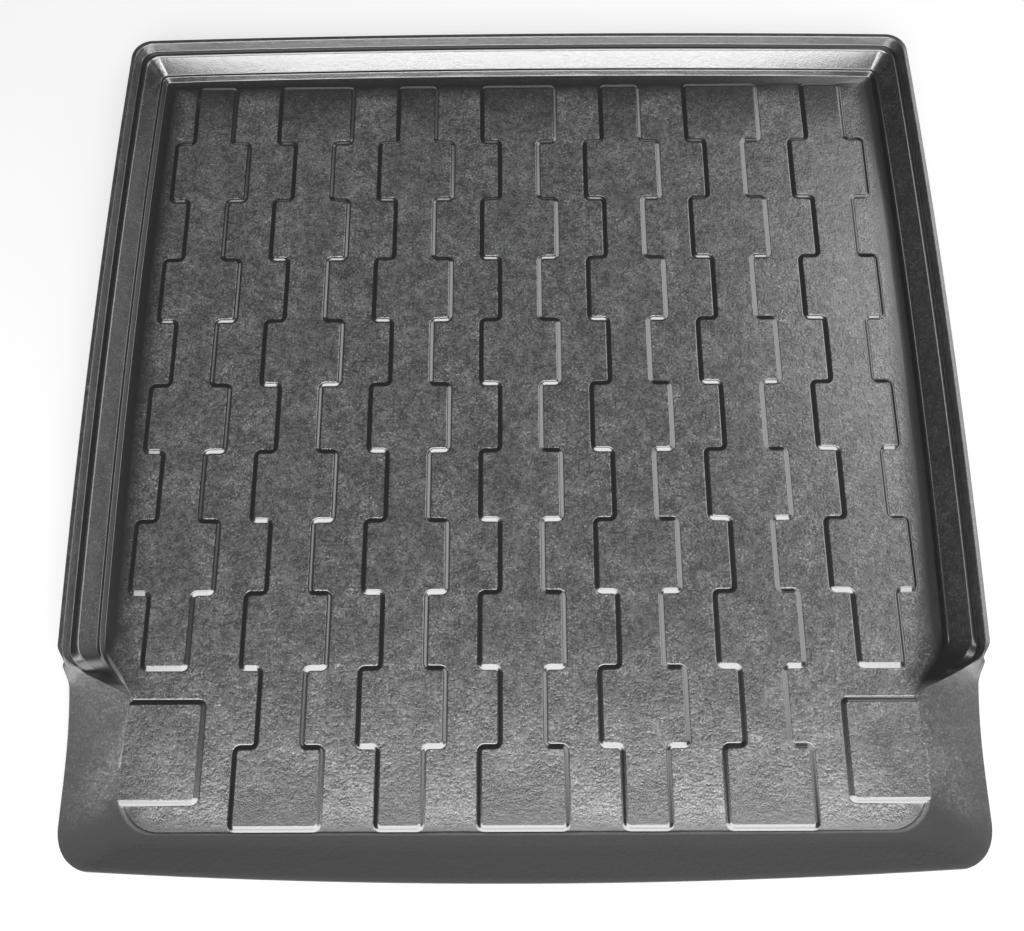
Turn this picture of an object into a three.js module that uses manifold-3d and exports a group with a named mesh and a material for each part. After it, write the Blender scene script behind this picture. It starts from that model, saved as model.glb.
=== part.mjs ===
import * as THREE from 'three';
import Module from 'manifold-3d';

// A car boot liner, formed as one piece from a plastic sheet of even thickness.
// Sizes are in millimetres. The seats are towards +Y and the tailgate sill towards -Y.
// The floor of the liner rests on Z = 0, and heights named here are above its upper face.

// Sheet, and its bends as shares of the shorter face beside them
const sheet = 3;
const bendRadius = 1.5;
const bendLeastShare = 0.1;
const bendMostShare = 0.4;
const mitreEase = 0.01;

// Raised blocks: columns of wide and narrow blocks in turn, neighbours one row out of step
const columnCount = 7;
const rowCount = 11;
const columnPitch = 130;
const rowLength = 82.5;
const wideBlock = 93;
const narrowBlock = 48.5;
const blockHeight = 2;
const blockSlope = 4;
const blockCornerRadius = 3.5;
const blockRoot = 0.5;

// The outer columns stop short, and a block fills each corner at the sill
const outerColumnRows = 9;
const cornerBlockGap = 35;
const cornerBlockLength = 103.5;
const cornerBlockOverlap = 3;

// Flat floor left between the blocks and the foot of the rim
const sideMargin = 17.8;
const rearMargin = 2.3;
const frontMargin = 2.3;

// Section of the high rim, outwards from its foot: the run and rise of each face
const coveRun = 9.5;
const coveRise = 1.5;
const stepRun = 2.5;
const stepRise = 7.5;
const shelfRun = 3;
const shelfRise = -0.5;
const wallRun = 11.4;
const wallRise = 23.5;
const ledgeRun = 7.8;
const ledgeRise = -1.7;
const lipRun = 3.5;
const lipRise = 11.2;
const flangeRun = 5.5;
const flangeDrop = 1.75;
const rearCoveExtra = 4.3;

// Plan of the high rim: the sides and the back bow outwards between rounded corners
const sideBow = 5.5;
const rearBow = 6.4;
const rearEdgeRadius = 25;
const rearBaseRadius = 6;
const rearFootRadius = 5;

// Ends of the high rim: the wall turns inwards and its crest falls to the floor, where
// its tip stops short of the foot. The shares are parts of the turn's length.
const rimEnd = 262;
const turnLead = 17;
const turnLength = 60;
const footStraightShare = 0.22;
const footSwingShare = 0.47;
const footSwingRun = 9;
const crestStraightShare = 0.5;
const crestSwingShare = 0.5;
const crestSwingRun = 44;
const crestTipRun = 4;
const crestTipGap = 5;
const crestFallStart = 0.15;
const crestFallEnd = 0.6;
const creaseFadeShare = 0.6;

// Trimmed edge at the rim's end: it steps inwards, and leads the foot a little
const edgeStep = 9.5;
const edgeStepStart = 4;
const edgeStepLength = 22;
const edgeLead = 8;
const edgePace = 0.7;

// Low apron along the sides of the sill end
const apronWidth = 62;
const browRun = 41;
const browHeight = 9;
const browFall = 2.5;
const apronEdgeDrop = 1.5;

// Slope along the sill
const sillRun = 48;
const sillCoveRun = 17;
const sillCoveRise = 3;
const sillRise = 18;
const sillBow = 15.8;
const sillEdgeRadius = 42;
const sillFootRadius = 40;

// Fineness of the curves
const rearSteps = 3;
const cornerSteps = 5;
const sillCornerSteps = 7;
const sideSteps = 5;
const turnSteps = 11;
const apronSteps = 5;
const sillSteps = 4;

const { lerp, smoothstep, degToRad } = THREE.MathUtils;
const flat = (x, y) => new THREE.Vector2(x, y);

// Pattern extent, and the lines that follow from it
const lastColumn = (columnCount - 1) / 2;
const patternHalfWidth = lastColumn * columnPitch + wideBlock / 2;
const patternHalfLength = (rowCount * rowLength) / 2;

// The creases of the high rim, as distance from the foot and height above the floor
const rimFaces = [
  [0, 0],
  [coveRun, coveRise],
  [stepRun, stepRise],
  [shelfRun, shelfRise],
  [wallRun, wallRise],
  [ledgeRun, ledgeRise],
  [lipRun, lipRise],
];
const rimCreases = [];
rimFaces.reduce(([run, rise], [dRun, dRise]) => {
  const crease = [run + dRun, rise + dRise];
  rimCreases.push(crease);
  return crease;
}, [0, 0]);
const [crestRun, crestHeight] = rimCreases[rimCreases.length - 1];
const rimWidth = crestRun + flangeRun;
const flangeEndHeight = crestHeight - flangeDrop;

// Places of the three lines between the crest and the trimmed edge, as shares of that stretch:
// close together on the narrow flange, and spread out up to the brow of the apron
const flangeShares = [0.69, 0.8, 0.9];
const browShare = (browRun - crestTipRun) / (apronWidth - crestTipRun);
const apronShares = flangeShares.map((_, line) => (browShare * (line + 1)) / flangeShares.length);

const floorHalfWidth = patternHalfWidth + sideMargin;
const rimHalfWidth = floorHalfWidth + rimWidth;
const footRear = patternHalfLength + rearMargin;
const rimRear = footRear + rearCoveExtra + rimWidth;
const footFront = -(patternHalfLength + frontMargin);
const sillFront = footFront - sillRun;

// Trimmed edge of the high rim on the side, at the back and along the sill
const sideMiddle = (footRear - rimEnd) / 2;
const sideHalf = (footRear + rimEnd) / 2;
const sideEdge = (y) => rimHalfWidth - sideBow * ((y - sideMiddle) / sideHalf) ** 2;
const rearEdge = (x) => rimRear - rearBow * (x / rimHalfWidth) ** 2;
const sillEdge = (x) => sillFront + sillBow * (x / rimHalfWidth) ** 2;

// Each section is a row of creases from the foot to the trimmed edge.
// In the high rim the foot, the base of the wall and the edge are given in plan.
function rimSection(foot, base, edge) {
  const creases = rimCreases.map(([run, rise], index) => {
    const share = (run - coveRun) / (rimWidth - coveRun);
    const place = index === 0 ? foot : base.clone().lerp(edge, share);
    return new THREE.Vector3(place.x, place.y, sheet + rise);
  });
  const end = new THREE.Vector3(edge.x, edge.y, sheet + flangeEndHeight);
  const crest = creases[creases.length - 1];
  return [...creases, ...flangeShares.map((share) => crest.clone().lerp(end, share)), end];
}

// The apron rises from its foot to a brow and then droops a little to its edge.
// The brow itself falls from the crest of the high rim to its low height near the sill.
const apronHalfWidth = sideEdge(-rimEnd) - edgeStep;
const apronFootX = apronHalfWidth - apronWidth;
const apronFootEnd = footFront + sillFootRadius;
function apronHeight(x, y) {
  const run = Math.max(x - apronFootX, 0);
  const left = THREE.MathUtils.clamp((y - apronFootEnd) / (-rimEnd - apronFootEnd), 0, 1);
  const brow = lerp(browHeight, crestHeight, left ** browFall);
  if (run < browRun) return brow * Math.sin((Math.PI / 2) * (run / browRun));
  return brow - apronEdgeDrop * smoothstep(run, browRun, apronWidth);
}

// The slope along the sill starts with a hollow curve and goes on straight
function sillHeight(share) {
  const run = share * sillRun;
  if (run < sillCoveRun) return sillCoveRise * (run / sillCoveRun) ** 2;
  return lerp(sillCoveRise, sillRise, (run - sillCoveRun) / (sillRun - sillCoveRun));
}

// A low section between the foot and the edge. Its lines start close to the foot, where the
// crest of the high rim ends, and even out towards the sill. Turn goes from apron 0 to sill 1.
function lowSection(foot, edge, even, turn) {
  const count = rimCreases.length + flangeShares.length + 1;
  return Array.from({ length: count }, (_, index) => {
    const near = index < rimCreases.length
      ? (rimCreases[index][0] / crestRun) * (crestTipRun / apronWidth)
      : lerp(crestTipRun / apronWidth, 1, [...apronShares, 1][index - rimCreases.length]);
    const share = lerp(near, index / (count - 1), even);
    const place = foot.clone().lerp(edge, share);
    const height = lerp(apronHeight(place.x, place.y), sillHeight(share), turn);
    return new THREE.Vector3(place.x, place.y, sheet + height);
  });
}

// A point on a rounded corner whose sides are at x and y, turned from +X by an angle
function cornerPoint(x, y, radius, angle) {
  const centreY = y - Math.sign(y) * radius;
  return flat(x - radius + radius * Math.cos(angle), centreY + radius * Math.sin(angle));
}

// Back of the rim, from the middle to the right-hand corner
const rearCornerX = sideEdge(rearEdge(rimHalfWidth) - rearEdgeRadius);
const rearCornerY = rearEdge(rearCornerX - rearEdgeRadius);
const wallInset = rimWidth - coveRun;
function rearCorner(angle) {
  const edge = cornerPoint(rearCornerX, rearCornerY, rearEdgeRadius, angle);
  const base = cornerPoint(rearCornerX - wallInset, rearCornerY - wallInset, rearBaseRadius, angle);
  const foot = cornerPoint(rearCornerX - rimWidth, footRear, rearFootRadius, angle);
  return { foot, base, edge };
}
function rearSections() {
  const end = rearCorner(Math.PI / 2);
  return Array.from({ length: rearSteps }, (_, step) => {
    const share = step / rearSteps;
    const edgeX = end.edge.x * share;
    const baseX = end.base.x * share;
    const foot = flat(end.foot.x * share, footRear);
    return rimSection(foot, flat(baseX, rearEdge(baseX) - wallInset), flat(edgeX, rearEdge(edgeX)));
  });
}
function rearCornerSections() {
  return Array.from({ length: cornerSteps + 1 }, (_, step) => {
    const { foot, base, edge } = rearCorner((Math.PI / 2) * (1 - step / cornerSteps));
    return rimSection(foot, base, edge);
  });
}

// Side of the rim, from the corner to the start of its end
function sideSections() {
  const start = rearCorner(0);
  const along = (from, to, inset, share) => {
    const y = lerp(from, to, share);
    return flat(sideEdge(y) - inset, y);
  };
  return Array.from({ length: sideSteps }, (_, step) => {
    const share = (step + 1) / sideSteps;
    const foot = along(start.foot.y, turnLead - rimEnd, rimWidth, share);
    const base = along(start.base.y, turnLead - rimEnd, wallInset, share);
    const edge = along(start.edge.y, -rimEnd, 0, share);
    return rimSection(foot, base, edge);
  });
}

// End of the high rim: its foot and its crest swing inwards to meet on the floor,
// while the trimmed edge steps in and falls to the apron
const turnEnd = -(rimEnd + turnLength);
const turnFoot = new THREE.CubicBezierCurve(
  flat(sideEdge(-rimEnd) - rimWidth, turnLead - rimEnd),
  flat(sideEdge(-rimEnd) - rimWidth, -rimEnd - turnLength * footStraightShare),
  flat(apronFootX + footSwingRun, -rimEnd - turnLength * footSwingShare),
  flat(apronFootX, turnEnd),
);
const turnCrest = new THREE.CubicBezierCurve(
  flat(sideEdge(-rimEnd) - flangeRun, -rimEnd),
  flat(sideEdge(-rimEnd) - flangeRun, -rimEnd - turnLength * crestStraightShare),
  flat(apronFootX + crestSwingRun, -rimEnd - turnLength * crestSwingShare),
  flat(apronFootX + crestTipRun, turnEnd + crestTipGap),
);
function turnSection(share) {
  const low = smoothstep(share, crestFallStart, crestFallEnd);
  const fade = smoothstep(share, 0, creaseFadeShare);
  const onLiner = (place, rimHeight) => {
    const height = lerp(rimHeight, apronHeight(place.x, place.y), low);
    return new THREE.Vector3(place.x, place.y, sheet + height);
  };
  const foot = turnFoot.getPoint(share);
  const crestPlan = turnCrest.getPoint(share);
  const crest = onLiner(crestPlan, crestHeight);
  const edgeY = -rimEnd - (turnLength + edgeLead) * share ** edgePace;
  const stepped = smoothstep(-edgeY - rimEnd - edgeStepStart, 0, edgeStepLength);
  const edgePlan = flat(sideEdge(-rimEnd) - edgeStep * stepped, edgeY);
  const inner = rimCreases.slice(0, -1).map(([run, rise]) => {
    const place = foot.clone().lerp(crestPlan, run / crestRun);
    const shape = lerp(rise / crestHeight, run / crestRun, fade);
    return new THREE.Vector3(place.x, place.y, lerp(sheet, crest.z, shape));
  });
  const outer = flangeShares.map((flangeShare, index) => {
    const between = lerp(flangeShare, apronShares[index], share);
    return onLiner(crestPlan.clone().lerp(edgePlan, between), crestHeight - flangeDrop * between);
  });
  return [...inner, crest, ...outer, onLiner(edgePlan, flangeEndHeight)];
}
function turnSections() {
  return Array.from({ length: turnSteps }, (_, step) => turnSection((step + 1) / turnSteps));
}

// Apron beside the corner block, then round the corner and along the sill
const sillCornerX = apronHalfWidth;
const sillCornerY = sillEdge(sillCornerX - sillEdgeRadius);
function sillCorner(angle) {
  const edge = cornerPoint(sillCornerX, sillCornerY, sillEdgeRadius, angle);
  const foot = cornerPoint(apronFootX, footFront, sillFootRadius, angle);
  return { foot, edge };
}
function apronSections() {
  const end = sillCorner(0);
  return Array.from({ length: apronSteps }, (_, step) => {
    const share = (step + 1) / (apronSteps + 1);
    const foot = flat(apronFootX, lerp(turnEnd, end.foot.y, share));
    const edge = flat(apronHalfWidth, lerp(turnEnd - edgeLead, end.edge.y, share));
    return lowSection(foot, edge, smoothstep(share, 0, 1), 0);
  });
}
function sillCornerSections() {
  return Array.from({ length: sillCornerSteps + 1 }, (_, step) => {
    const share = step / sillCornerSteps;
    const { foot, edge } = sillCorner(degToRad(-90 * share));
    return lowSection(foot, edge, 1, smoothstep(share, 0, 1));
  });
}
function sillSections() {
  const start = sillCorner(degToRad(-90));
  return Array.from({ length: sillSteps }, (_, step) => {
    const share = 1 - (step + 1) / sillSteps;
    const edgeX = start.edge.x * share;
    return lowSection(flat(start.foot.x * share, footFront), flat(edgeX, sillEdge(edgeX)), 1, 1);
  });
}

// All sections in a closed loop: the right-hand half and its mirror image
function allSections() {
  const right = [
    ...rearSections(),
    ...rearCornerSections(),
    ...sideSections(),
    ...turnSections(),
    ...apronSections(),
    ...sillCornerSections(),
    ...sillSections(),
  ];
  const mirrored = right.slice(1, -1).reverse();
  const left = mirrored.map((section) => section.map(({ x, y, z }) => new THREE.Vector3(-x, y, z)));
  return [...right, ...left];
}

// The mitre at a crease: one sheet thickness from every face that meets there
function mitre(faces) {
  const sum = new THREE.Vector3();
  const matrix = new Array(9).fill(0);
  for (const face of faces) {
    const n = face.toArray();
    sum.add(face);
    for (let row = 0; row < 3; row += 1) {
      for (let column = 0; column < 3; column += 1) matrix[row * 3 + column] += n[row] * n[column];
    }
  }
  for (let index = 0; index < 9; index += 4) matrix[index] += mitreEase;
  return sum.applyMatrix3(new THREE.Matrix3().set(...matrix).invert());
}

function faceNormal(a, b, c, d) {
  const along = b.clone().sub(a).add(c).sub(d);
  const across = d.clone().sub(a).add(c).sub(b);
  return along.cross(across).normalize();
}

function mitres(sections) {
  const count = sections.length;
  const last = sections[0].length - 1;
  const up = new THREE.Vector3(0, 0, 1);
  const normals = sections.map((section, s) => {
    const next = sections[(s + 1) % count];
    return section.slice(0, last).map((a, i) => faceNormal(a, next[i], next[i + 1], section[i + 1]));
  });
  return sections.map((section, s) => section.map((_, i) => {
    const before = normals[(s + count - 1) % count];
    const after = normals[s];
    if (i === 0) {
      const foot = mitre([up, up, before[0], after[0]]);
      return foot.divideScalar(foot.z);
    }
    return mitre([before[i - 1], after[i - 1], before[i], after[i]].filter(Boolean));
  }));
}

// Creases one to six are rounded, each with its own number of steps
const creaseSteps = [1, 1, 1, 2, 2, 2];

function roundCreases(points, radii) {
  const rounded = [];
  points.forEach((point, index) => {
    const steps = creaseSteps[index - 1];
    if (!steps) {
      rounded.push(point);
      return;
    }
    const back = points[index - 1].clone().sub(point);
    const ahead = points[index + 1].clone().sub(point);
    const shortest = Math.min(back.length(), ahead.length());
    const half = (Math.PI - back.angleTo(ahead)) / 2;
    const wanted = radii[index] * Math.tan(half);
    const reach = THREE.MathUtils.clamp(wanted, shortest * bendLeastShare, shortest * bendMostShare);
    const start = point.clone().add(back.setLength(reach));
    const end = point.clone().add(ahead.setLength(reach));
    const curve = new THREE.QuadraticBezierCurve3(start, point, end);
    rounded.push(...curve.getPoints(steps));
  });
  return rounded;
}

// Radii of the upper and lower face at each crease: the inside of a bend is the tighter one
function creaseRadii(section, offsets) {
  return section.map((point, index) => {
    const before = section[index - 1];
    const after = section[index + 1];
    if (!before || !after) return [0, 0];
    const turn = after.clone().sub(point).normalize().sub(point.clone().sub(before).normalize());
    const ridge = turn.dot(offsets[index]) < 0;
    return ridge ? [bendRadius + sheet, bendRadius] : [bendRadius, bendRadius + sheet];
  });
}

// The plain liner: upper face, trimmed edge, lower face and both faces of the floor
function linerGeometry() {
  const sections = allSections();
  const offsets = mitres(sections);
  const upper = [];
  const lower = [];
  sections.forEach((section, s) => {
    const radii = creaseRadii(section, offsets[s]);
    const below = section.map((point, i) => point.clone().addScaledVector(offsets[s][i], -sheet));
    upper.push(roundCreases(section, radii.map(([top]) => top)));
    lower.push(roundCreases(below, radii.map(([, bottom]) => bottom)));
  });
  const count = sections.length;
  const rings = upper[0].length;
  const ring = (s, r) => {
    const section = s % count;
    return r < rings ? upper[section][r] : lower[section][2 * rings - 1 - r];
  };
  const positions = [];
  for (let s = 0; s < count; s += 1) {
    for (let r = 0; r < 2 * rings; r += 1) positions.push(...ring(s, r).toArray());
  }
  const at = (s, r) => (s % count) * 2 * rings + r;
  const triangles = [];
  for (let s = 0; s < count; s += 1) {
    for (let r = 0; r < 2 * rings - 1; r += 1) {
      const a = at(s, r);
      const b = at(s + 1, r);
      const c = at(s + 1, r + 1);
      const d = at(s, r + 1);
      const first = ring(s, r).distanceTo(ring(s + 1, r + 1));
      const second = ring(s + 1, r).distanceTo(ring(s, r + 1));
      triangles.push(...(first < second ? [a, b, c, a, c, d] : [a, b, d, b, c, d]));
    }
  }
  for (const [faces, r] of [[upper, 0], [lower, 2 * rings - 1]]) {
    const outline = faces.map((face) => flat(face[0].x, face[0].y));
    for (const [a, b, c] of THREE.ShapeUtils.triangulateShape(outline, [])) {
      const corners = r === 0 ? [a, b, c] : [a, c, b];
      triangles.push(...corners.map((s) => at(s, r)));
    }
  }
  return { positions, triangles };
}

// A block is a prism with sloping sides, between an outline grown and shrunk by half the slope
function blockGeometry(outline, base) {
  const foot = outline(blockSlope / 2);
  const top = outline(-blockSlope / 2);
  const layers = [
    [foot, base - blockRoot],
    [foot, base],
    [top, base + blockHeight],
  ];
  const count = foot.length;
  const positions = layers.flatMap(([points, z]) => points.flatMap(({ x, y }) => [x, y, z]));
  const triangles = [];
  for (let layer = 0; layer < layers.length - 1; layer += 1) {
    for (let i = 0; i < count; i += 1) {
      const a = layer * count + i;
      const b = layer * count + ((i + 1) % count);
      triangles.push(a, b, b + count, a, b + count, a + count);
    }
  }
  for (const [a, b, c] of THREE.ShapeUtils.triangulateShape(foot, [])) {
    triangles.push(c, b, a);
    triangles.push(a + 2 * count, b + 2 * count, c + 2 * count);
  }
  return { positions, triangles };
}

// Rounds the corners of an outline by one cut each. Growing an outline widens its outward
// corners and tightens its inward ones.
function roundCorners(corners, grow) {
  return corners.flatMap((corner, i) => {
    const back = corners.at(i - 1).clone().sub(corner).normalize();
    const ahead = corners[(i + 1) % corners.length].clone().sub(corner).normalize();
    const outward = ahead.cross(back) > 0;
    const radius = blockCornerRadius + (outward ? grow : -grow);
    return [back, ahead].map((side) => corner.clone().addScaledVector(side, radius));
  });
}

// Outline of one column: its right-hand side down the rows and its left-hand side back up
function columnOutline(column) {
  const outer = Math.abs(column) === lastColumn;
  const rows = outer ? outerColumnRows : rowCount;
  const halfWidth = (row) => ((row + column) % 2 === 0 ? wideBlock : narrowBlock) / 2;
  return (grow) => {
    const sides = [[halfWidth(0) + grow, patternHalfLength + grow]];
    for (let row = 1; row < rows; row += 1) {
      const above = halfWidth(row - 1);
      const below = halfWidth(row);
      const y = patternHalfLength - row * rowLength + (above > below ? -grow : grow);
      sides.push([above + grow, y], [below + grow, y]);
    }
    sides.push([halfWidth(rows - 1) + grow, patternHalfLength - rows * rowLength - grow]);
    const centre = column * columnPitch;
    const right = sides.map(([half, y]) => flat(centre + half, y)).reverse();
    const left = sides.map(([half, y]) => flat(centre - half, y));
    return roundCorners([...right, ...left], grow);
  };
}

// Outline of the corner block on one side, from the line of the wide blocks to the apron
function cornerOutline(side) {
  const inner = patternHalfWidth - wideBlock;
  const outer = apronFootX + cornerBlockOverlap;
  const rear = patternHalfLength - outerColumnRows * rowLength - cornerBlockGap;
  return (grow) => {
    const xs = [side * (inner - grow), side * (outer + grow)].sort((a, b) => a - b);
    const ys = [rear - cornerBlockLength - grow, rear + grow];
    const corners = [flat(xs[0], ys[0]), flat(xs[1], ys[0]), flat(xs[1], ys[1]), flat(xs[0], ys[1])];
    return roundCorners(corners, grow);
  };
}

const wasm = await Module();
wasm.setup();
const { Manifold, Mesh } = wasm;

function solid({ positions, triangles }) {
  return new Manifold(new Mesh({
    numProp: 3,
    vertProperties: new Float32Array(positions),
    triVerts: new Uint32Array(triangles),
  }));
}

// The blocks stand up from the floor, and the same shapes are hollow from below
function formedLiner() {
  const outlines = [cornerOutline(-1), cornerOutline(1)];
  for (let column = -lastColumn; column <= lastColumn; column += 1) {
    outlines.push(columnOutline(column));
  }
  let liner = solid(linerGeometry());
  for (const outline of outlines) liner = liner.add(solid(blockGeometry(outline, sheet)));
  for (const outline of outlines) liner = liner.subtract(solid(blockGeometry(outline, 0)));
  return liner;
}

function toGeometry(manifold) {
  const mesh = manifold.getMesh();
  const geometry = new THREE.BufferGeometry();
  geometry.setAttribute('position', new THREE.BufferAttribute(mesh.vertProperties, 3));
  geometry.setIndex(new THREE.BufferAttribute(mesh.triVerts, 1));
  geometry.computeVertexNormals();
  return geometry;
}

const plastic = new THREE.MeshStandardMaterial({ color: 0x3b3c3e, roughness: 0.62, metalness: 0 });
const liner = new THREE.Mesh(toGeometry(formedLiner()), plastic);
liner.name = 'boot_liner';

// The origin is the middle of the underside
liner.geometry.computeBoundingBox();
liner.position.y = -liner.geometry.boundingBox.getCenter(new THREE.Vector3()).y;

const bootLiner = new THREE.Group();
bootLiner.add(liner);

export default bootLiner;
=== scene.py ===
import math

import bpy
import numpy as np
from mathutils import Matrix, Vector
from mathutils.kdtree import KDTree


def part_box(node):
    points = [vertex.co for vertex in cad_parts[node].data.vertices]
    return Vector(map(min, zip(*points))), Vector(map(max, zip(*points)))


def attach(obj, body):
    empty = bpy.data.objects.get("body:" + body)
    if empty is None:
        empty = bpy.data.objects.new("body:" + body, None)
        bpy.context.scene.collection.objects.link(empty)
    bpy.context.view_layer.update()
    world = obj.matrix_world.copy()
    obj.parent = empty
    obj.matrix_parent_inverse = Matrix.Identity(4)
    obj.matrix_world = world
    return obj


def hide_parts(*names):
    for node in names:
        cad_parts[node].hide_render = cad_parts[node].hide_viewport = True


# A car boot liner of dark, grained plastic on a white floor, seen from above and a little
# from its sill end. The scene is in metres: +X across the boot, +Y towards the seats, +Z up.

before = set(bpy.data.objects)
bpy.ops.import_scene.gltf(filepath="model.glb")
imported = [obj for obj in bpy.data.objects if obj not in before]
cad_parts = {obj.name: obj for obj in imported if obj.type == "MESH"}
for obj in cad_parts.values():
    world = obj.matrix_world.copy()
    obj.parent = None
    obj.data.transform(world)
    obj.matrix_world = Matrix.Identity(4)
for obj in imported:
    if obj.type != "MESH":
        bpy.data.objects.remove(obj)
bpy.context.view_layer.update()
scene = bpy.context.scene

# The camera: the sensor's width in millimetres, the place and the reach in metres, and the
# turns in radians, the first one outermost
PHOTO_WIDTH = 1024
FOCAL_PIXELS = 1000
SENSOR = 36.0
CAMERA_PLACE = (-0.0024, -0.3900, 1.1067)
CAMERA_TURNS = ((0.291551, "X"), (0.006880, "Y"), (-0.006161, "Z"))
CAMERA_REACH = 20


def link(obj):
    scene.collection.objects.link(obj)
    return obj


cam = link(bpy.data.objects.new("camera", bpy.data.cameras.new("camera")))
cam.data.sensor_width = SENSOR
cam.data.lens = FOCAL_PIXELS / PHOTO_WIDTH * SENSOR
cam.data.clip_end = CAMERA_REACH
turn = Matrix.Identity(3)
for angle, axis in CAMERA_TURNS:
    turn = turn @ Matrix.Rotation(angle, 3, axis)
cam.matrix_world = Matrix.Translation(CAMERA_PLACE) @ turn.to_4x4()
scene.camera = cam


MM = 0.001

# The sizes down to the sill are in millimetres, the same as in the solids, apart from the radius
# of the blocks' corners and how far a corner block runs in under the apron.
# The sheet, the radius inside its bends, the least and the most share of a face that a bend
# takes, the ease that keeps a mitre solvable, and the most that a mitre is longer than the sheet
SHEET = 3.0
BEND_RADIUS = 1.5
BEND_SHARES = (0.1, 0.4)
MITRE_EASE = 0.01
MITRE_LIMIT = 1.3

# The raised blocks: columns of wide and narrow rows, and one block in each front corner
COLUMN_COUNT = 7
ROW_COUNT = 11
COLUMN_PITCH = 130.0
ROW_LENGTH = 82.5
WIDE_BLOCK = 93.0
NARROW_BLOCK = 48.5
BLOCK_HEIGHT = 2.0
BLOCK_SLOPE = 4.0
BLOCK_CORNER = 5.5
BLOCK_EDGE = 1.5
BLOCK_ROOT = 0.5
BLOCK_STEP = 0.01
OUTER_ROWS = 9
CORNER_GAP = 35.0
CORNER_LENGTH = 103.5
CORNER_OVERLAP = 9.0

# From the pattern of blocks to the foot of the rim and the sill
SIDE_MARGIN = 17.8
REAR_MARGIN = 2.3
FRONT_MARGIN = 2.3

# The faces of the rim from its foot outward, each a run and a rise, and the flange beyond them
RIM_FACES = [
    (0, 0),
    (9.5, 1.5),
    (2.5, 7.5),
    (3.0, -0.5),
    (11.4, 23.5),
    (7.8, -1.7),
    (3.5, 11.2),
]
FLANGE_RUN = 5.5
FLANGE_DROP = 1.75
REAR_COVE_EXTRA = 4.3

# The plan of the rim: bowed sides and rounded rear corners
SIDE_BOW = 5.5
REAR_BOW = 6.4
REAR_EDGE_RADIUS = 25.0
REAR_BASE_RADIUS = 6.0
REAR_FOOT_RADIUS = 5.0

# Where the side walls end, turn inwards and fall to the aprons
RIM_END = 262.0
TURN_LEAD = 17.0
TURN_LENGTH = 60.0
FOOT_STRAIGHT = 0.22
FOOT_SWING = 0.47
FOOT_SWING_RUN = 9.0
CREST_STRAIGHT = 0.5
CREST_SWING = 0.5
CREST_SWING_RUN = 44.0
CREST_TIP_RUN = 4.0
CREST_TIP_GAP = 5.0
CREST_FALL = (0.15, 0.6)
CREASE_FADE = 0.6

EDGE_STEP = 9.5
EDGE_STEP_START = 4.0
EDGE_STEP_LENGTH = 22.0
EDGE_LEAD = 8.0
EDGE_PACE = 0.7

# The low aprons beside the front corners
APRON_WIDTH = 62.0
BROW_RUN = 41.0
BROW_HEIGHT = 9.0
BROW_FALL = 2.5
APRON_EDGE_DROP = 1.5

# The slope along the sill
SILL_RUN = 48.0
SILL_COVE_RUN = 17.0
SILL_COVE_RISE = 3.0
SILL_RISE = 18.0
SILL_BOW = 15.8
SILL_EDGE_RADIUS = 42.0
SILL_FOOT_RADIUS = 40.0

# Fineness of the curves, in steps; a block and a hollow have one number for their corners in
# plan and one for their edges
REAR_STEPS = 10
CORNER_STEPS = 12
SIDE_STEPS = 16
TURN_STEPS = 44
APRON_STEPS = 14
SILL_CORNER_STEPS = 16
SILL_STEPS = 10
CREASE_STEPS = {1: 3, 2: 3, 3: 3, 4: 4, 5: 4, 6: 4}
BLOCK_STEPS = (4, 3)
HOLLOW_STEPS = (2, 1)

# How much grain shows and how matt it is, from 0 to 1, at the foot of a section and on each of
# its faces out to the trimmed edge. Low grain darkens the colour; the low values at the foot, in
# the cove, on the ledges, on the wall's end, on the sill and on the apron's outer faces are
# painted shade.
GRAIN_AND_SHADE = {
    "rear": [0, 0.15, 0.2, 0.05, 0.2, 0.0, 0.3, 0.4, 0.4, 0.4, 0.4],
    "side": [0, 0.05, 0.1, 0.0, 0.35, 0.0, 0.4, 0.5, 0.5, 0.5, 0.5],
    "end": [0.6, 0.0, 0.0, 0.0, 0.0, 0.0, 0.1, 0.3, 0.3, 0.3, 0.3],
    "apron": [1, 1, 1, 1, 1, 0.9, 0.8, 0.6, 0.4, 0.3, 0.3],
    "sill": [0, 0, 0, 0, 0, 0, 0, 0, 0, 0, 0],
}
MATT = {
    "rear": [0, 0, 0, 0, 0, 0, 0.2, 0.2, 0.2, 0.2, 0.2],
    "side": [0, 0, 0, 0, 0, 0, 0.2, 0.2, 0.2, 0.2, 0.2],
    "end": [0, 0, 0, 0, 0, 0, 0, 0.5, 0.5, 0.5, 0.5],
    "apron": [0, 0.7, 1, 1, 1, 1, 1, 1, 1, 1, 1],
    "sill": [0, 0.8, 1, 1, 1, 1, 1, 1, 1, 1, 1],
}
# The part of a stretch, as shares of its length, in which one look changes to the next; the faces
# up to the crest change as inside, and the ones beyond it as outside
SIDE_TO_END = (0, 0.4)
END_TO_APRON_INSIDE = (0.75, 1)
END_TO_APRON_OUTSIDE = (0.4, 1)
APRON_TO_SILL = (0.6, 1.4)
CORNER_TO_SILL = (-0.5, 0.4)
CREST_FACE = 6

# The grain of the floor fades towards its edge in this width, in mm and as a share of the floor;
# the floor's colour darkens there too, which is painted shade along the foot of the walls
SHADE_FADE = 24.0
SHADE_FADE_SHARE = 0.052
# Points nearer than this, in mm, are the same
SAME_PLACE = 0.0005
# A point of a block's slope lies more than this, in mm, above the floor and below the top
SLOPE_BAND = 0.04
# Least square of a length, for a division
TINY = 1e-9

# The plastic: scale per metre, detail and roughness of each noise
FINE_NOISE = (400, 2.0, 0.85)
COARSE_NOISE = (140, 2.0, 0.8)
MOTTLE_NOISE = (30, 2.0, 0.6)
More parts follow.
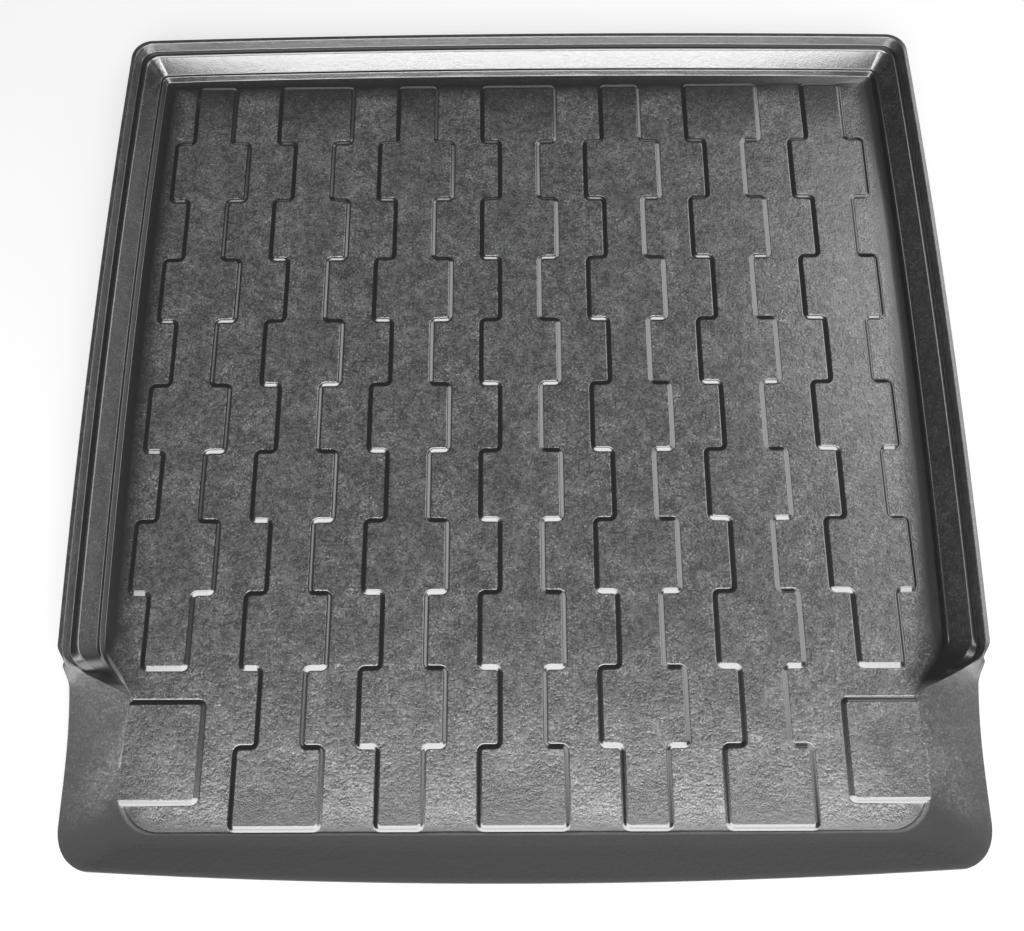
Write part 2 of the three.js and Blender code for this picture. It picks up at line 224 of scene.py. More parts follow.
# Thin wavy marks, raised ridges with a painted highlight: the stretch and the warped noise that they
# follow, and where they show
WAVE_STRETCH = (1.0, 1.9, 1.0)
WAVE_NOISE = (48, 3.0, 0.6, 0.6)
WAVE_MIDDLE = 0.5
MARK_WIDTH = 0.022
MARKS_IN_FINE = (0.42, 0.60)
MARKS_IN_MOTTLE = (0.42, 0.62)
# What each of them adds to the relief, whose depth is in metres, and how far matt deepens it
FINE_RELIEF = 0.6
COARSE_RELIEF = 0.9
MARK_RELIEF = 0.08
MATT_RELIEF = 2.0
RELIEF_DEPTH = 0.00045
# What each of them adds to the tone, between dark and light
FINE_TONE = 0.5
COARSE_TONE = 0.5
TONE_RANGE = (0.36, 0.66, 0.03, 0.135)
SPECK_RANGE = (0.55, 0.75, 0.0, 0.15)
MOTTLE_RANGE = (0.3, 0.7, 0.8, 1.2)
# The marks are painted lighter: a painted highlight on their ridges
MARK_PAINTED_HIGHLIGHT = 0.14
DARK = (0.012, 0.0121, 0.0125, 1)
LIGHT = (0.98, 0.99, 1.0, 1)
ROUGHNESS = (0.22, 1.0)
IOR = 1.8

# The floor, in metres, and its looks to lit and to seen rays
FLOOR_SIZE = 12
FLOOR_HEIGHT = -0.0005
LIT_FLOOR = (0.85, 0.85, 0.85, 1)
SEEN_FLOOR = (0.42, 0.42, 0.42, 1)
SEEN_GLOW = 0.55
FLOOR_ROUGHNESS = 0.9
WHITE = (1, 1, 1, 1)

# Soft lights: azimuth (0 for -Y, 90 for +X) and elevation in degrees, width and height in
# metres, and radiance. The front one lights the floor and the rear rim, the right one the faces
# towards +X, and the low one the faces of the blocks and walls towards -Y.
LIGHT_DISTANCE = 3.0
LIGHTS = {
    "front": (2, 53, 3.5, 2.55, 4.8),
    "right": (110, 35.5, 2.7, 2.45, 1.8),
    "low": (6, 6, 4.4, 0.48, 10),
}
WORLD_LIGHT = 0.07

PATTERN_HALF_WIDTH = (COLUMN_COUNT - 1) / 2 * COLUMN_PITCH + WIDE_BLOCK / 2
PATTERN_HALF_LENGTH = ROW_COUNT * ROW_LENGTH / 2
RIM_CREASES = [
    tuple(sum(face[k] for face in RIM_FACES[: i + 1]) for k in (0, 1)) for i in range(len(RIM_FACES))
]
COVE_RUN = RIM_FACES[1][0]
CREST_RUN, CREST_HEIGHT = RIM_CREASES[-1]
RIM_WIDTH = CREST_RUN + FLANGE_RUN
FLANGE_END = CREST_HEIGHT - FLANGE_DROP
FLANGE_SHARES = (0.69, 0.8, 0.9)
BROW_SHARE = (BROW_RUN - CREST_TIP_RUN) / (APRON_WIDTH - CREST_TIP_RUN)
APRON_SHARES = [BROW_SHARE * (line + 1) / len(FLANGE_SHARES) for line in range(len(FLANGE_SHARES))]
RIM_HALF_WIDTH = PATTERN_HALF_WIDTH + SIDE_MARGIN + RIM_WIDTH
FOOT_REAR = PATTERN_HALF_LENGTH + REAR_MARGIN
RIM_REAR = FOOT_REAR + REAR_COVE_EXTRA + RIM_WIDTH
FOOT_FRONT = -(PATTERN_HALF_LENGTH + FRONT_MARGIN)
SILL_FRONT = FOOT_FRONT - SILL_RUN
TURN_END = -(RIM_END + TURN_LENGTH)
WALL_INSET = RIM_WIDTH - COVE_RUN


def lerp(a, b, share):
    return a + (b - a) * share


def smooth(value, low, high):
    share = min(max((value - low) / (high - low), 0), 1)
    return share * share * (3 - 2 * share)


def side_edge(y):
    middle, half = (FOOT_REAR - RIM_END) / 2, (FOOT_REAR + RIM_END) / 2
    return RIM_HALF_WIDTH - SIDE_BOW * ((y - middle) / half) ** 2


def rear_edge(x):
    return RIM_REAR - REAR_BOW * (x / RIM_HALF_WIDTH) ** 2


def sill_edge(x):
    return SILL_FRONT + SILL_BOW * (x / RIM_HALF_WIDTH) ** 2


def rim_section(foot, base, edge):
    """The creases of the full rim, from its foot and the base of its wall to the trimmed edge."""
    creases = []
    for index, (run, rise) in enumerate(RIM_CREASES):
        share = (run - COVE_RUN) / (RIM_WIDTH - COVE_RUN)
        place = base.lerp(edge, share) if index else foot
        creases.append(Vector((place.x, place.y, SHEET + rise)))
    end = Vector((edge.x, edge.y, SHEET + FLANGE_END))
    return creases + [creases[-1].lerp(end, share) for share in FLANGE_SHARES] + [end]


APRON_HALF_WIDTH = side_edge(-RIM_END) - EDGE_STEP
APRON_FOOT = APRON_HALF_WIDTH - APRON_WIDTH
APRON_FOOT_END = FOOT_FRONT + SILL_FOOT_RADIUS


def apron_height(x, y):
    """The apron rises from its foot to a rounded brow, which falls away from the rim's end."""
    run = max(x - APRON_FOOT, 0)
    left = min(max((y - APRON_FOOT_END) / (-RIM_END - APRON_FOOT_END), 0), 1)
    brow = lerp(BROW_HEIGHT, CREST_HEIGHT, left**BROW_FALL)
    if run < BROW_RUN:
        return brow * math.sin(math.pi / 2 * run / BROW_RUN)
    return brow - APRON_EDGE_DROP * smooth(run, BROW_RUN, APRON_WIDTH)


def sill_height(share):
    run = share * SILL_RUN
    if run < SILL_COVE_RUN:
        return SILL_COVE_RISE * (run / SILL_COVE_RUN) ** 2
    return lerp(SILL_COVE_RISE, SILL_RISE, (run - SILL_COVE_RUN) / (SILL_RUN - SILL_COVE_RUN))


def low_section(foot, edge, even, turn):
    """A section of the apron (turn 0) or the sill (turn 1); even spreads its creases."""
    shares = [run / CREST_RUN * CREST_TIP_RUN / APRON_WIDTH for run, _ in RIM_CREASES]
    shares += [lerp(CREST_TIP_RUN / APRON_WIDTH, 1, share) for share in (*APRON_SHARES, 1)]
    section = []
    for index, near in enumerate(shares):
        share = lerp(near, index / (len(shares) - 1), even)
        place = foot.lerp(edge, share)
        height = lerp(apron_height(place.x, place.y), sill_height(share), turn)
        section.append(Vector((place.x, place.y, SHEET + height)))
    return section


def corner_point(x, y, radius, angle):
    centre_y = y - math.copysign(radius, y)
    return Vector((x - radius + radius * math.cos(angle), centre_y + radius * math.sin(angle)))


REAR_CORNER_X = side_edge(rear_edge(RIM_HALF_WIDTH) - REAR_EDGE_RADIUS)
REAR_CORNER_Y = rear_edge(REAR_CORNER_X - REAR_EDGE_RADIUS)


def rear_corner(angle):
    edge = corner_point(REAR_CORNER_X, REAR_CORNER_Y, REAR_EDGE_RADIUS, angle)
    base = corner_point(REAR_CORNER_X - WALL_INSET, REAR_CORNER_Y - WALL_INSET, REAR_BASE_RADIUS, angle)
    foot = corner_point(REAR_CORNER_X - RIM_WIDTH, FOOT_REAR, REAR_FOOT_RADIUS, angle)
    return foot, base, edge


def rear_sections():
    foot, base, edge = rear_corner(math.pi / 2)
    for step in range(REAR_STEPS):
        share = step / REAR_STEPS
        middle = base.x * share
        yield rim_section(
            Vector((foot.x * share, FOOT_REAR)),
            Vector((middle, rear_edge(middle) - WALL_INSET)),
            Vector((edge.x * share, rear_edge(edge.x * share))),
        )


def side_sections():
    foot, base, edge = rear_corner(0)

    def along(start, end, inset, share):
        y = lerp(start, end, share)
        return Vector((side_edge(y) - inset, y))

    for step in range(SIDE_STEPS):
        share = (step + 1) / SIDE_STEPS
        yield rim_section(
            along(foot.y, TURN_LEAD - RIM_END, RIM_WIDTH, share),
            along(base.y, TURN_LEAD - RIM_END, WALL_INSET, share),
            along(edge.y, -RIM_END, 0, share),
        )


def bezier(points, share):
    while len(points) > 1:
        points = [a.lerp(b, share) for a, b in zip(points, points[1:])]
    return points[0]


TURN_FOOT = [
    Vector((side_edge(-RIM_END) - RIM_WIDTH, TURN_LEAD - RIM_END)),
    Vector((side_edge(-RIM_END) - RIM_WIDTH, -RIM_END - TURN_LENGTH * FOOT_STRAIGHT)),
    Vector((APRON_FOOT + FOOT_SWING_RUN, -RIM_END - TURN_LENGTH * FOOT_SWING)),
    Vector((APRON_FOOT, TURN_END)),
]
TURN_CREST = [
    Vector((side_edge(-RIM_END) - FLANGE_RUN, -RIM_END)),
    Vector((side_edge(-RIM_END) - FLANGE_RUN, -RIM_END - TURN_LENGTH * CREST_STRAIGHT)),
    Vector((APRON_FOOT + CREST_SWING_RUN, -RIM_END - TURN_LENGTH * CREST_SWING)),
    Vector((APRON_FOOT + CREST_TIP_RUN, TURN_END + CREST_TIP_GAP)),
]


def turn_section(share):
    """The wall's end on its way inwards: its steps fade and it falls to the apron."""
    low = smooth(share, *CREST_FALL)
    fade = smooth(share, 0, CREASE_FADE)

    def on_liner(place, rim_height):
        height = lerp(rim_height, apron_height(place.x, place.y), low)
        return Vector((place.x, place.y, SHEET + height))

    foot = bezier(TURN_FOOT, share)
    crest_plan = bezier(TURN_CREST, share)
    crest = on_liner(crest_plan, CREST_HEIGHT)
    edge_y = -RIM_END - (TURN_LENGTH + EDGE_LEAD) * share**EDGE_PACE
    stepped = smooth(-edge_y - RIM_END - EDGE_STEP_START, 0, EDGE_STEP_LENGTH)
    edge = Vector((side_edge(-RIM_END) - EDGE_STEP * stepped, edge_y))
    section = []
    for run, rise in RIM_CREASES[:-1]:
        place = foot.lerp(crest_plan, run / CREST_RUN)
        shape = lerp(rise / CREST_HEIGHT, run / CREST_RUN, fade)
        section.append(Vector((place.x, place.y, lerp(SHEET, crest.z, shape))))
    section.append(crest)
    for flange_share, apron_share in zip(FLANGE_SHARES, APRON_SHARES):
        between = lerp(flange_share, apron_share, share)
        section.append(on_liner(crest_plan.lerp(edge, between), CREST_HEIGHT - FLANGE_DROP * between))
    return section + [on_liner(edge, FLANGE_END)]


SILL_CORNER_Y = sill_edge(APRON_HALF_WIDTH - SILL_EDGE_RADIUS)


def sill_corner(angle):
    edge = corner_point(APRON_HALF_WIDTH, SILL_CORNER_Y, SILL_EDGE_RADIUS, angle)
    return corner_point(APRON_FOOT, FOOT_FRONT, SILL_FOOT_RADIUS, angle), edge


def apron_sections():
    end_foot, end_edge = sill_corner(0)
    for step in range(APRON_STEPS):
        share = (step + 1) / (APRON_STEPS + 1)
        foot = Vector((APRON_FOOT, lerp(TURN_END, end_foot.y, share)))
        edge = Vector((APRON_HALF_WIDTH, lerp(TURN_END - EDGE_LEAD, end_edge.y, share)))
        yield low_section(foot, edge, smooth(share, 0, 1), 0)


def sill_sections():
    start_foot, start_edge = sill_corner(-math.pi / 2)
    for step in range(SILL_CORNER_STEPS + 1):
        share = step / SILL_CORNER_STEPS
        yield low_section(*sill_corner(-math.pi / 2 * share), 1, smooth(share, 0, 1))
    for step in range(SILL_STEPS):
        share = 1 - (step + 1) / SILL_STEPS
        edge_x = start_edge.x * share
        foot = Vector((start_foot.x * share, FOOT_FRONT))
        yield low_section(foot, Vector((edge_x, sill_edge(edge_x))), 1, 1)


def all_sections():
    """The sections all round, from the middle of the rear by the right side and the sill."""
    right = list(rear_sections())
    for step in range(CORNER_STEPS + 1):
        right.append(rim_section(*rear_corner(math.pi / 2 * (1 - step / CORNER_STEPS))))
    right += list(side_sections())
    right += [turn_section((step + 1) / TURN_STEPS) for step in range(TURN_STEPS)]
    right += list(apron_sections())
    right += list(sill_sections())
    mirrored = [[Vector((-p.x, p.y, p.z)) for p in section] for section in right[-2:0:-1]]
    return right + mirrored


def section_looks(table):
    """The looks at the foot and on the faces of each section, in the order of all_sections."""

    def between(start, end, share):
        return [lerp(a, b, share) for a, b in zip(table[start], table[end])]

    right = [table["rear"]] * REAR_STEPS
    right += [between("rear", "side", step / CORNER_STEPS) for step in range(CORNER_STEPS + 1)]
    right += [table["side"]] * SIDE_STEPS
    for step in range(TURN_STEPS):
        share = (step + 1) / TURN_STEPS
        ending = between("side", "end", smooth(share, *SIDE_TO_END))
        late = [smooth(share, *END_TO_APRON_INSIDE)] * (CREST_FACE + 1)
        late += [smooth(share, *END_TO_APRON_OUTSIDE)] * (len(ending) - len(late))
        right.append([lerp(*values) for values in zip(ending, table["apron"], late)])
    for step in range(APRON_STEPS):
        right.append(between("apron", "sill", smooth(step / APRON_STEPS, *APRON_TO_SILL)))
    for step in range(SILL_CORNER_STEPS + 1):
        right.append(between("apron", "sill", smooth(step / SILL_CORNER_STEPS, *CORNER_TO_SILL)))
    right += [table["sill"]] * SILL_STEPS
    return right + right[-2:0:-1]


def ring_looks(values):
    """The looks on each point of a rounded section: they change from face to face in the bends."""
    ring = []
    for index in range(len(values)):
        steps = CREASE_STEPS.get(index, 0)
        after = values[min(index + 1, len(values) - 1)] if index else values[0]
        for step in range(steps + 1):
            share = step / steps if steps else 0.5 * (index > 0)
            ring.append(lerp(values[index], after, share))
    return ring


def mitre(faces):
    """One sheet thickness from every face that meets at a crease."""
    total = Vector((0, 0, 0))
    matrix = Matrix.Identity(3) * MITRE_EASE
    for face in faces:
        total += face
        matrix += Matrix([[a * b for b in face] for a in face])
    offset = matrix.inverted() @ total
    return offset * min(1, MITRE_LIMIT / offset.length)


def mitres(sections):
    """The way through the sheet, for a thickness of 1, at each crease of each section."""
    count = len(sections)
    last = len(sections[0]) - 1
    up = Vector((0, 0, 1))
    normals = []
    for s, section in enumerate(sections):
        after = sections[(s + 1) % count]
        row = []
        for i in range(last):
            a, b, c, d = section[i], after[i], after[i + 1], section[i + 1]
            row.append((b - a + c - d).cross(d - a + c - b).normalized())
        normals.append(row)
    result = []
    for s in range(count):
        before, after = normals[s - 1], normals[s]
        foot = mitre([up, up, before[0], after[0]])
        row = [foot / foot.z]
        for i in range(1, last + 1):
            faces = [before[i - 1], after[i - 1]]
            if i < last:
                faces += [before[i], after[i]]
            row.append(mitre(faces))
        result.append(row)
    return result


def round_creases(points, radii):
    """A section with its creases as bends; a bend takes no more than its share of a face."""
    rounded = []
    for index, point in enumerate(points):
        steps = CREASE_STEPS.get(index)
        if not steps:
            rounded.append(point)
            continue
        back = points[index - 1] - point
        ahead = points[index + 1] - point
        shortest = min(back.length, ahead.length)
        wanted = radii[index] * math.tan((math.pi - back.angle(ahead)) / 2)
        reach = min(max(wanted, shortest * BEND_SHARES[0]), shortest * BEND_SHARES[1])
        ends = [point + back.normalized() * reach, point, point + ahead.normalized() * reach]
        rounded += [bezier(ends, step / steps) for step in range(steps + 1)]
    return rounded


def crease_radii(section, offsets):
    """The radii above and below the sheet at each crease: wide outside the bend, tight inside."""
    radii = [(0, 0)]
    for before, point, after, offset in zip(section, section[1:], section[2:], offsets[1:]):
        turn = (after - point).normalized() - (point - before).normalized()
        ridge = turn.dot(offset) < 0
        wide, tight = BEND_RADIUS + SHEET, BEND_RADIUS
        radii.append((wide, tight) if ridge else (tight, wide))
    return radii + [(0, 0)]


def liner_shell():
    """The plain liner as vertices and faces: upper face, trimmed edge, lower face and floor."""
    sections = all_sections()
    rings = []
    for section, offsets in zip(sections, mitres(sections)):
        radii = crease_radii(section, offsets)
        below = [point - offset * SHEET for point, offset in zip(section, offsets)]
        upper = round_creases(section, [top for top, _ in radii])
        lower = round_creases(below, [bottom for _, bottom in radii])
        rings.append(upper + lower[::-1])
    width = len(rings[0])
    count = len(rings)
    faces = []
    for s in range(count):
        after = (s + 1) % count
        for r in range(width - 1):
            faces.append((s * width + r, after * width + r, after * width + r + 1, s * width + r + 1))
    faces.append([s * width + width - 1 for s in range(count)])
    points = [point for ring in rings for point in ring]
    inner = len(points)
    # A ring inside the foot, where the painted shade on the floor along the walls ends
    for s in range(count):
        after = (s + 1) % count
        foot = rings[s][0]
        points.append(Vector((foot.x * (1 - SHADE_FADE_SHARE), foot.y * (1 - SHADE_FADE_SHARE), foot.z)))
        faces.append((after * width, s * width, inner + s, inner + after))
    faces.append([inner + s for s in reversed(range(count))])
    return points, faces, [ring[0] for ring in rings]


def liner_looks(table, inner_look):
    """One value for each point of liner_shell; its last points lie inside the edge of the floor."""
    values = []
    sections = section_looks(table)
    for section in sections:
        ring = ring_looks(section)
        values += ring + ring[::-1]
    return values + [inner_look] * len(sections)


def round_corners(corners, grow, steps):
    """An outline with arcs for its square corners, whose radius grows or shrinks with it."""
    points = []
    for index, corner in enumerate(corners):
        back = (corners[index - 1] - corner).normalized()
        ahead = (corners[(index + 1) % len(corners)] - corner).normalized()
        outward = ahead.cross(back) > 0
        radius = BLOCK_CORNER + (grow if outward else -grow)
        for step in range(steps + 1):
            angle = math.pi / 2 * step / steps
            arc = ahead * (1 - math.cos(angle)) + back * (1 - math.sin(angle))
            points.append(corner + arc * radius)
    return points


def column_corners(column, grow):
    """The outline of one column: its rows are wide and narrow by turns."""
    last = (COLUMN_COUNT - 1) // 2
    rows = OUTER_ROWS if abs(column) == last else ROW_COUNT
    halves = [(WIDE_BLOCK if (row + column) % 2 == 0 else NARROW_BLOCK) / 2 for row in range(rows)]
    sides = [(halves[0] + grow, PATTERN_HALF_LENGTH + grow)]
    for row, (above, below) in enumerate(zip(halves, halves[1:]), 1):
        y = PATTERN_HALF_LENGTH - row * ROW_LENGTH + (-grow if above > below else grow)
        sides += [(above + grow, y), (below + grow, y)]
    sides.append((halves[-1] + grow, PATTERN_HALF_LENGTH - rows * ROW_LENGTH - grow))
    centre = column * COLUMN_PITCH
    right = [Vector((centre + half, y)) for half, y in reversed(sides)]
    return right + [Vector((centre - half, y)) for half, y in sides]


def corner_corners(side, grow):
    """The outline of the block in a front corner, which runs in under the apron."""
    inner = PATTERN_HALF_WIDTH - WIDE_BLOCK - grow
    outer = APRON_FOOT + CORNER_OVERLAP + grow
    rear = PATTERN_HALF_LENGTH - OUTER_ROWS * ROW_LENGTH - CORNER_GAP
    low, high = sorted((side * inner, side * outer))
    front = rear - CORNER_LENGTH - grow
    rear += grow
    return [Vector((low, front)), Vector((high, front)), Vector((high, rear)), Vector((low, rear))]


def block_profile(steps):
    """Distance outside the middle of the slope, and height, up a block's side."""
    half = BLOCK_SLOPE / 2
    slope = Vector((-BLOCK_SLOPE, BLOCK_HEIGHT)).normalized() * BLOCK_EDGE
    level = Vector((-BLOCK_EDGE, 0))
    foot, top = Vector((half, 0)), Vector((-half, BLOCK_HEIGHT))
    curve = [bezier([foot - level, foot, foot + slope], step / steps) for step in range(steps + 1)]
    curve += [bezier([top - slope, top, top + level], step / steps) for step in range(steps + 1)]
    return curve


def block_shells(base, arc_steps, profile_steps):
    """All raised blocks as prisms with rounded corners and edges."""
    profile = [(grow, max(height, BLOCK_STEP)) for grow, height in block_profile(profile_steps)]
    profile.insert(0, (profile[0][0], -BLOCK_ROOT))
    last = (COLUMN_COUNT - 1) // 2
    outlines = [lambda grow, c=c: column_corners(c, grow) for c in range(-last, last + 1)]
    outlines += [lambda grow, s=s: corner_corners(s, grow) for s in (-1, 1)]
    points, faces = [], []
    for outline in outlines:
        start = len(points)
        for grow, height in profile:
            ring = round_corners(outline(grow), grow, arc_steps)
            points += [Vector((p.x, p.y, base + height)) for p in ring]
        count = len(ring)
        for layer in range(len(profile) - 1):
            for i in range(count):
                a = start + layer * count + i
                b = start + layer * count + (i + 1) % count
                faces.append((a, b, b + count, a + count))
        faces.append([start + i for i in reversed(range(count))])
        faces.append([start + (len(profile) - 1) * count + i for i in range(count)])
    return points, faces


def mesh_object(name, points, faces):
    mesh = bpy.data.meshes.new(name)
    mesh.from_pydata([point * MM for point in points], [], faces)
    return link(bpy.data.objects.new(name, mesh))


def formed_liner(name):
    """The blocks stand up from the floor, and the same shapes are hollow from below."""
    points, faces, feet = liner_shell()
    liner = mesh_object("plain", points, faces)
    blocks = mesh_object("blocks", *block_shells(SHEET, *BLOCK_STEPS))
    hollows = mesh_object("hollows", *block_shells(0, *HOLLOW_STEPS))
    for tool, operation in ((blocks, "UNION"), (hollows, "DIFFERENCE")):
        cut = liner.modifiers.new(tool.name, "BOOLEAN")
        cut.operation = operation
        cut.solver = "MANIFOLD"
        cut.object = tool
    graph = bpy.context.evaluated_depsgraph_get()
    mesh = bpy.data.meshes.new_from_object(liner.evaluated_get(graph), depsgraph=graph)
    for obj in (liner, blocks, hollows):
        bpy.data.objects.remove(obj)
    add_looks(mesh, points, feet)
    return link(bpy.data.objects.new(name, mesh))


def floor_grain_and_shade(x, y, feet, foot_grain_and_shade):
    """The grain of the floor and the block tops: it fades towards the foot of the walls, where the
    darker colour is painted shade.
    """
    starts = np.array([(foot.x, foot.y) for foot in feet])
    runs = np.roll(starts, -1, axis=0) - starts
    to_place = np.array([x, y]).T[:, None, :] - starts[None, :, :]
    along = (to_place * runs).sum(axis=2) / np.maximum((runs * runs).sum(axis=1), TINY)
    along = np.clip(along, 0, 1)
    gaps = np.hypot(*np.moveaxis(to_place - along[:, :, None] * runs, 2, 0))
    nearest = gaps.argmin(axis=1)
    rows = np.arange(len(nearest))
    share = along[rows, nearest]
    at_foot = np.array(foot_grain_and_shade)
    edge = at_foot[nearest] * (1 - share) + np.roll(at_foot, -1)[nearest] * share
    # Painted shade: the value, and with it the colour, is lowest at the foot of the walls
    rise = np.clip(gaps[rows, nearest] / SHADE_FADE, 0, 1)
    return edge + (1 - edge) * rise * rise * (3 - 2 * rise)


def add_looks(mesh, points, feet):
    """Marks how much grain shows, with the painted shade that low grain carries, and how matt the
    surface is, for the material.
    """
    grain_and_shade_in, matt_in = liner_looks(GRAIN_AND_SHADE, 1.0), liner_looks(MATT, 0.0)
    tree = KDTree(len(points))
    for index, point in enumerate(points):
        tree.insert(point, index)
    tree.balance()
    places = [vertex.co / MM for vertex in mesh.vertices]
    foot_grain_and_shade = [values[0] for values in section_looks(GRAIN_AND_SHADE)]
    # The floor gets painted shade along the foot of the walls
    grain_and_shade = floor_grain_and_shade([p.x for p in places], [p.y for p in places], feet, foot_grain_and_shade)
    matt = np.zeros(len(places))
    for number, place in enumerate(places):
        _, index, distance = tree.find(place)
        if distance < SAME_PLACE:
            grain_and_shade[number] = grain_and_shade_in[index]
            matt[number] = matt_in[index]
        elif SLOPE_BAND < place.z - SHEET < BLOCK_HEIGHT - SLOPE_BAND:
            grain_and_shade[number] = 0.0
    mesh.attributes.new("grain_and_shade", "FLOAT", "POINT").data.foreach_set("value", grain_and_shade)
    mesh.attributes.new("matt", "FLOAT", "POINT").data.foreach_set("value", matt)


def fit_to_box(obj, box):
    """Places the mesh, formed about another origin, in the box of the solid."""
    points = [vertex.co.copy() for vertex in obj.data.vertices]
    for axis in range(3):
        low = min(point[axis] for point in points)
        high = max(point[axis] for point in points)
        scale = (box[1][axis] - box[0][axis]) / (high - low)
        for vertex, point in zip(obj.data.vertices, points):
            vertex.co[axis] = box[0][axis] + (point[axis] - low) * scale


class Nodes:
    """Short ways to add and link shader nodes."""

    def __init__(self, name):
        self.material = bpy.data.materials.new(name)
        self.material.use_nodes = True
        self.tree = self.material.node_tree
        self.shader = self.tree.nodes["Principled BSDF"]

    def put(self, socket, value):
        if isinstance(value, bpy.types.NodeSocket):
            self.tree.links.new(value, socket)
        else:
            socket.default_value = value

    def add(self, kind, inputs=None, **settings):
        node = self.tree.nodes.new(kind)
        for key, value in settings.items():
            setattr(node, key, value)
        for key, value in (inputs or {}).items():
            self.put(node.inputs[key], value)
        return node

    def math(self, operation, *values):
        node = self.add("ShaderNodeMath", operation=operation)
        for socket, value in zip(node.inputs, values):
            self.put(socket, value)
        return node.outputs[0]

    def noise(self, vector, scale, detail=2.0, roughness=0.5, distortion=0.0):
        inputs = {
            "Vector": vector,
            "Scale": scale,
            "Detail": detail,
            "Roughness": roughness,
            "Distortion": distortion,
        }
        return self.add("ShaderNodeTexNoise", inputs).outputs["Fac"]

    def ramp(self, value, low, high, to_low=0.0, to_high=1.0):
        inputs = {
            "Value": value,
            "From Min": low,
            "From Max": high,
            "To Min": to_low,
            "To Max": to_high,
        }
        return self.add("ShaderNodeMapRange", inputs, interpolation_type="SMOOTHSTEP").outputs[0]

    def colours(self, factor, first, second):
        inputs = {"Factor": factor, 6: first, 7: second}
        return self.add("ShaderNodeMix", inputs, data_type="RGBA").outputs[2]


def plastic():
    """Dark and smooth where the grain is 0, lighter with specks where it is 1, so low grain paints
    shade; matt roughens it.
    """
    n = Nodes("grained_plastic")
    coords = n.add("ShaderNodeTexCoord").outputs["Object"]
    grain_and_shade_fac = n.add("ShaderNodeAttribute", attribute_name="grain_and_shade").outputs["Fac"]
    matt = n.add("ShaderNodeAttribute", attribute_name="matt").outputs["Fac"]
    fine = n.noise(coords, *FINE_NOISE)
    coarse = n.noise(coords, *COARSE_NOISE)
    mottle = n.noise(coords, *MOTTLE_NOISE)

    stretch = n.add("ShaderNodeMapping", {"Vector": coords, "Scale": WAVE_STRETCH})
    waves = n.noise(stretch.outputs[0], *WAVE_NOISE)
    offset = n.math("ABSOLUTE", n.math("SUBTRACT", waves, WAVE_MIDDLE))
    marks = n.ramp(offset, 0.0, MARK_WIDTH, 1.0, 0.0)
    marks = n.math("MULTIPLY", marks, n.ramp(fine, *MARKS_IN_FINE))
    marks = n.math("MULTIPLY", marks, n.ramp(mottle, *MARKS_IN_MOTTLE))

    def blend(fine_share, coarse_share):
        shares = n.math("MULTIPLY", fine, fine_share), n.math("MULTIPLY", coarse, coarse_share)
        return n.math("ADD", *shares)

    relief = blend(FINE_RELIEF, COARSE_RELIEF)
    relief = n.math("ADD", relief, n.math("MULTIPLY", marks, MARK_RELIEF))
    strength = n.math("ADD", grain_and_shade_fac, n.math("MULTIPLY", matt, MATT_RELIEF))
    height = n.math("MULTIPLY", relief, strength)
    bump = n.add("ShaderNodeBump", {"Height": height, "Strength": 1.0, "Distance": RELIEF_DEPTH})

    tone = n.ramp(blend(FINE_TONE, COARSE_TONE), *TONE_RANGE)
    tone = n.math("ADD", tone, n.ramp(fine, *SPECK_RANGE))
    tone = n.math("MULTIPLY", tone, n.ramp(mottle, *MOTTLE_RANGE))
    # Painted highlight on the wavy marks
    tone = n.math("ADD", tone, n.math("MULTIPLY", marks, MARK_PAINTED_HIGHLIGHT))
    # The colour darkens with low grain; where the table or the floor's fade keeps it low, that is
    # painted shade
    colour = n.colours(n.math("MULTIPLY", tone, grain_and_shade_fac), DARK, LIGHT)

    n.put(n.shader.inputs["Base Color"], colour)
    n.put(n.shader.inputs["Roughness"], n.ramp(matt, 0.0, 1.0, *ROUGHNESS))
    n.put(n.shader.inputs["Normal"], bump.outputs[0])
    n.shader.inputs["IOR"].default_value = IOR
    n.shader.inputs["Specular IOR Level"].default_value = 1.0
    return n.material


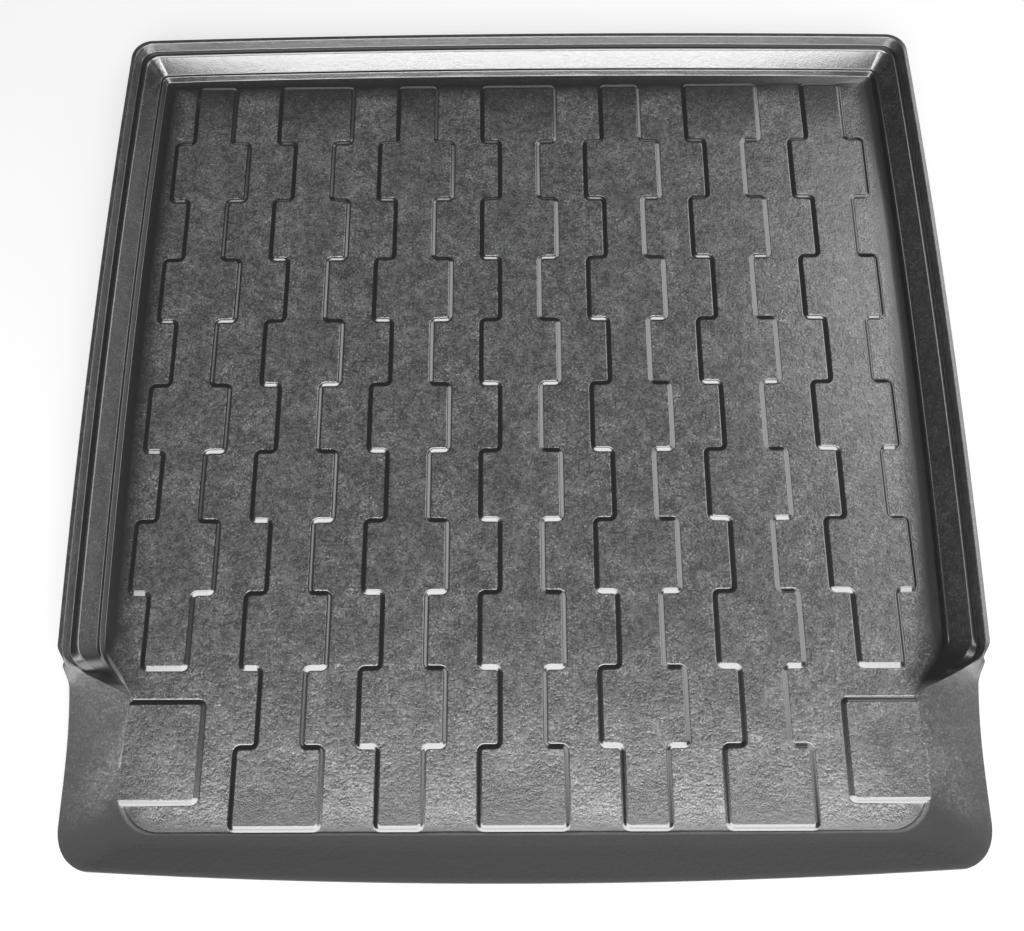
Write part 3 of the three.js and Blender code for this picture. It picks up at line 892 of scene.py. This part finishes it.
def white_floor():
    """White to the camera, with the liner's shadow, and a plain pale floor to all other rays."""
    n = Nodes("white_floor")
    rays = n.add("ShaderNodeLightPath")
    seen = n.math("MAXIMUM", rays.outputs["Is Camera Ray"], rays.outputs["Is Glossy Ray"])
    seen = n.math("MAXIMUM", seen, rays.outputs["Is Transmission Ray"])
    n.put(n.shader.inputs["Base Color"], n.colours(seen, LIT_FLOOR, SEEN_FLOOR))
    n.put(n.shader.inputs["Emission Strength"], n.math("MULTIPLY", seen, SEEN_GLOW))
    n.shader.inputs["Emission Color"].default_value = WHITE
    n.shader.inputs["Roughness"].default_value = FLOOR_ROUGHNESS
    n.shader.inputs["Specular IOR Level"].default_value = 0.0
    return n.material


solid_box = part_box("boot_liner")
liner = formed_liner("boot_liner_formed")
fit_to_box(liner, solid_box)
liner.data.polygons.foreach_set("use_smooth", [True] * len(liner.data.polygons))
liner.data.materials.clear()
liner.data.materials.append(plastic())
liner.data.polygons.foreach_set("material_index", [0] * len(liner.data.polygons))
even = liner.modifiers.new("even", "WEIGHTED_NORMAL")
even.keep_sharp = False
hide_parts("boot_liner")
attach(liner, "root")


def add_floor(name):
    half = FLOOR_SIZE / 2
    mesh = bpy.data.meshes.new(name)
    corners = [(-half, -half, 0), (half, -half, 0), (half, half, 0), (-half, half, 0)]
    mesh.from_pydata(corners, [], [(0, 1, 2, 3)])
    mesh.materials.append(white_floor())
    obj = link(bpy.data.objects.new(name, mesh))
    obj.location = (0, 0, FLOOR_HEIGHT)


def add_light(name, azimuth, elevation, width, height, radiance):
    a, e = math.radians(azimuth), math.radians(elevation)
    towards = Vector((math.sin(a) * math.cos(e), -math.cos(a) * math.cos(e), math.sin(e)))
    light = bpy.data.lights.new(name, "AREA")
    light.shape = "RECTANGLE"
    light.size = width
    light.size_y = height
    light.energy = radiance * math.pi * width * height
    obj = link(bpy.data.objects.new(name, light))
    obj.location = towards * LIGHT_DISTANCE
    obj.rotation_euler = towards.to_track_quat("Z", "Y").to_euler()


add_floor("floor")
for light_name, values in LIGHTS.items():
    add_light(light_name, *values)

world = bpy.data.worlds.new("world")
world.use_nodes = True
scene.world = world
tree = world.node_tree
background = tree.nodes["Background"]
rays = tree.nodes.new("ShaderNodeLightPath")
strength = tree.nodes.new("ShaderNodeMapRange")
strength.inputs["To Min"].default_value = WORLD_LIGHT
strength.inputs["To Max"].default_value = 1.0
tree.links.new(rays.outputs["Is Camera Ray"], strength.inputs["Value"])
tree.links.new(strength.outputs[0], background.inputs["Strength"])
background.inputs["Color"].default_value = WHITE

scene.view_settings.view_transform = "Standard"
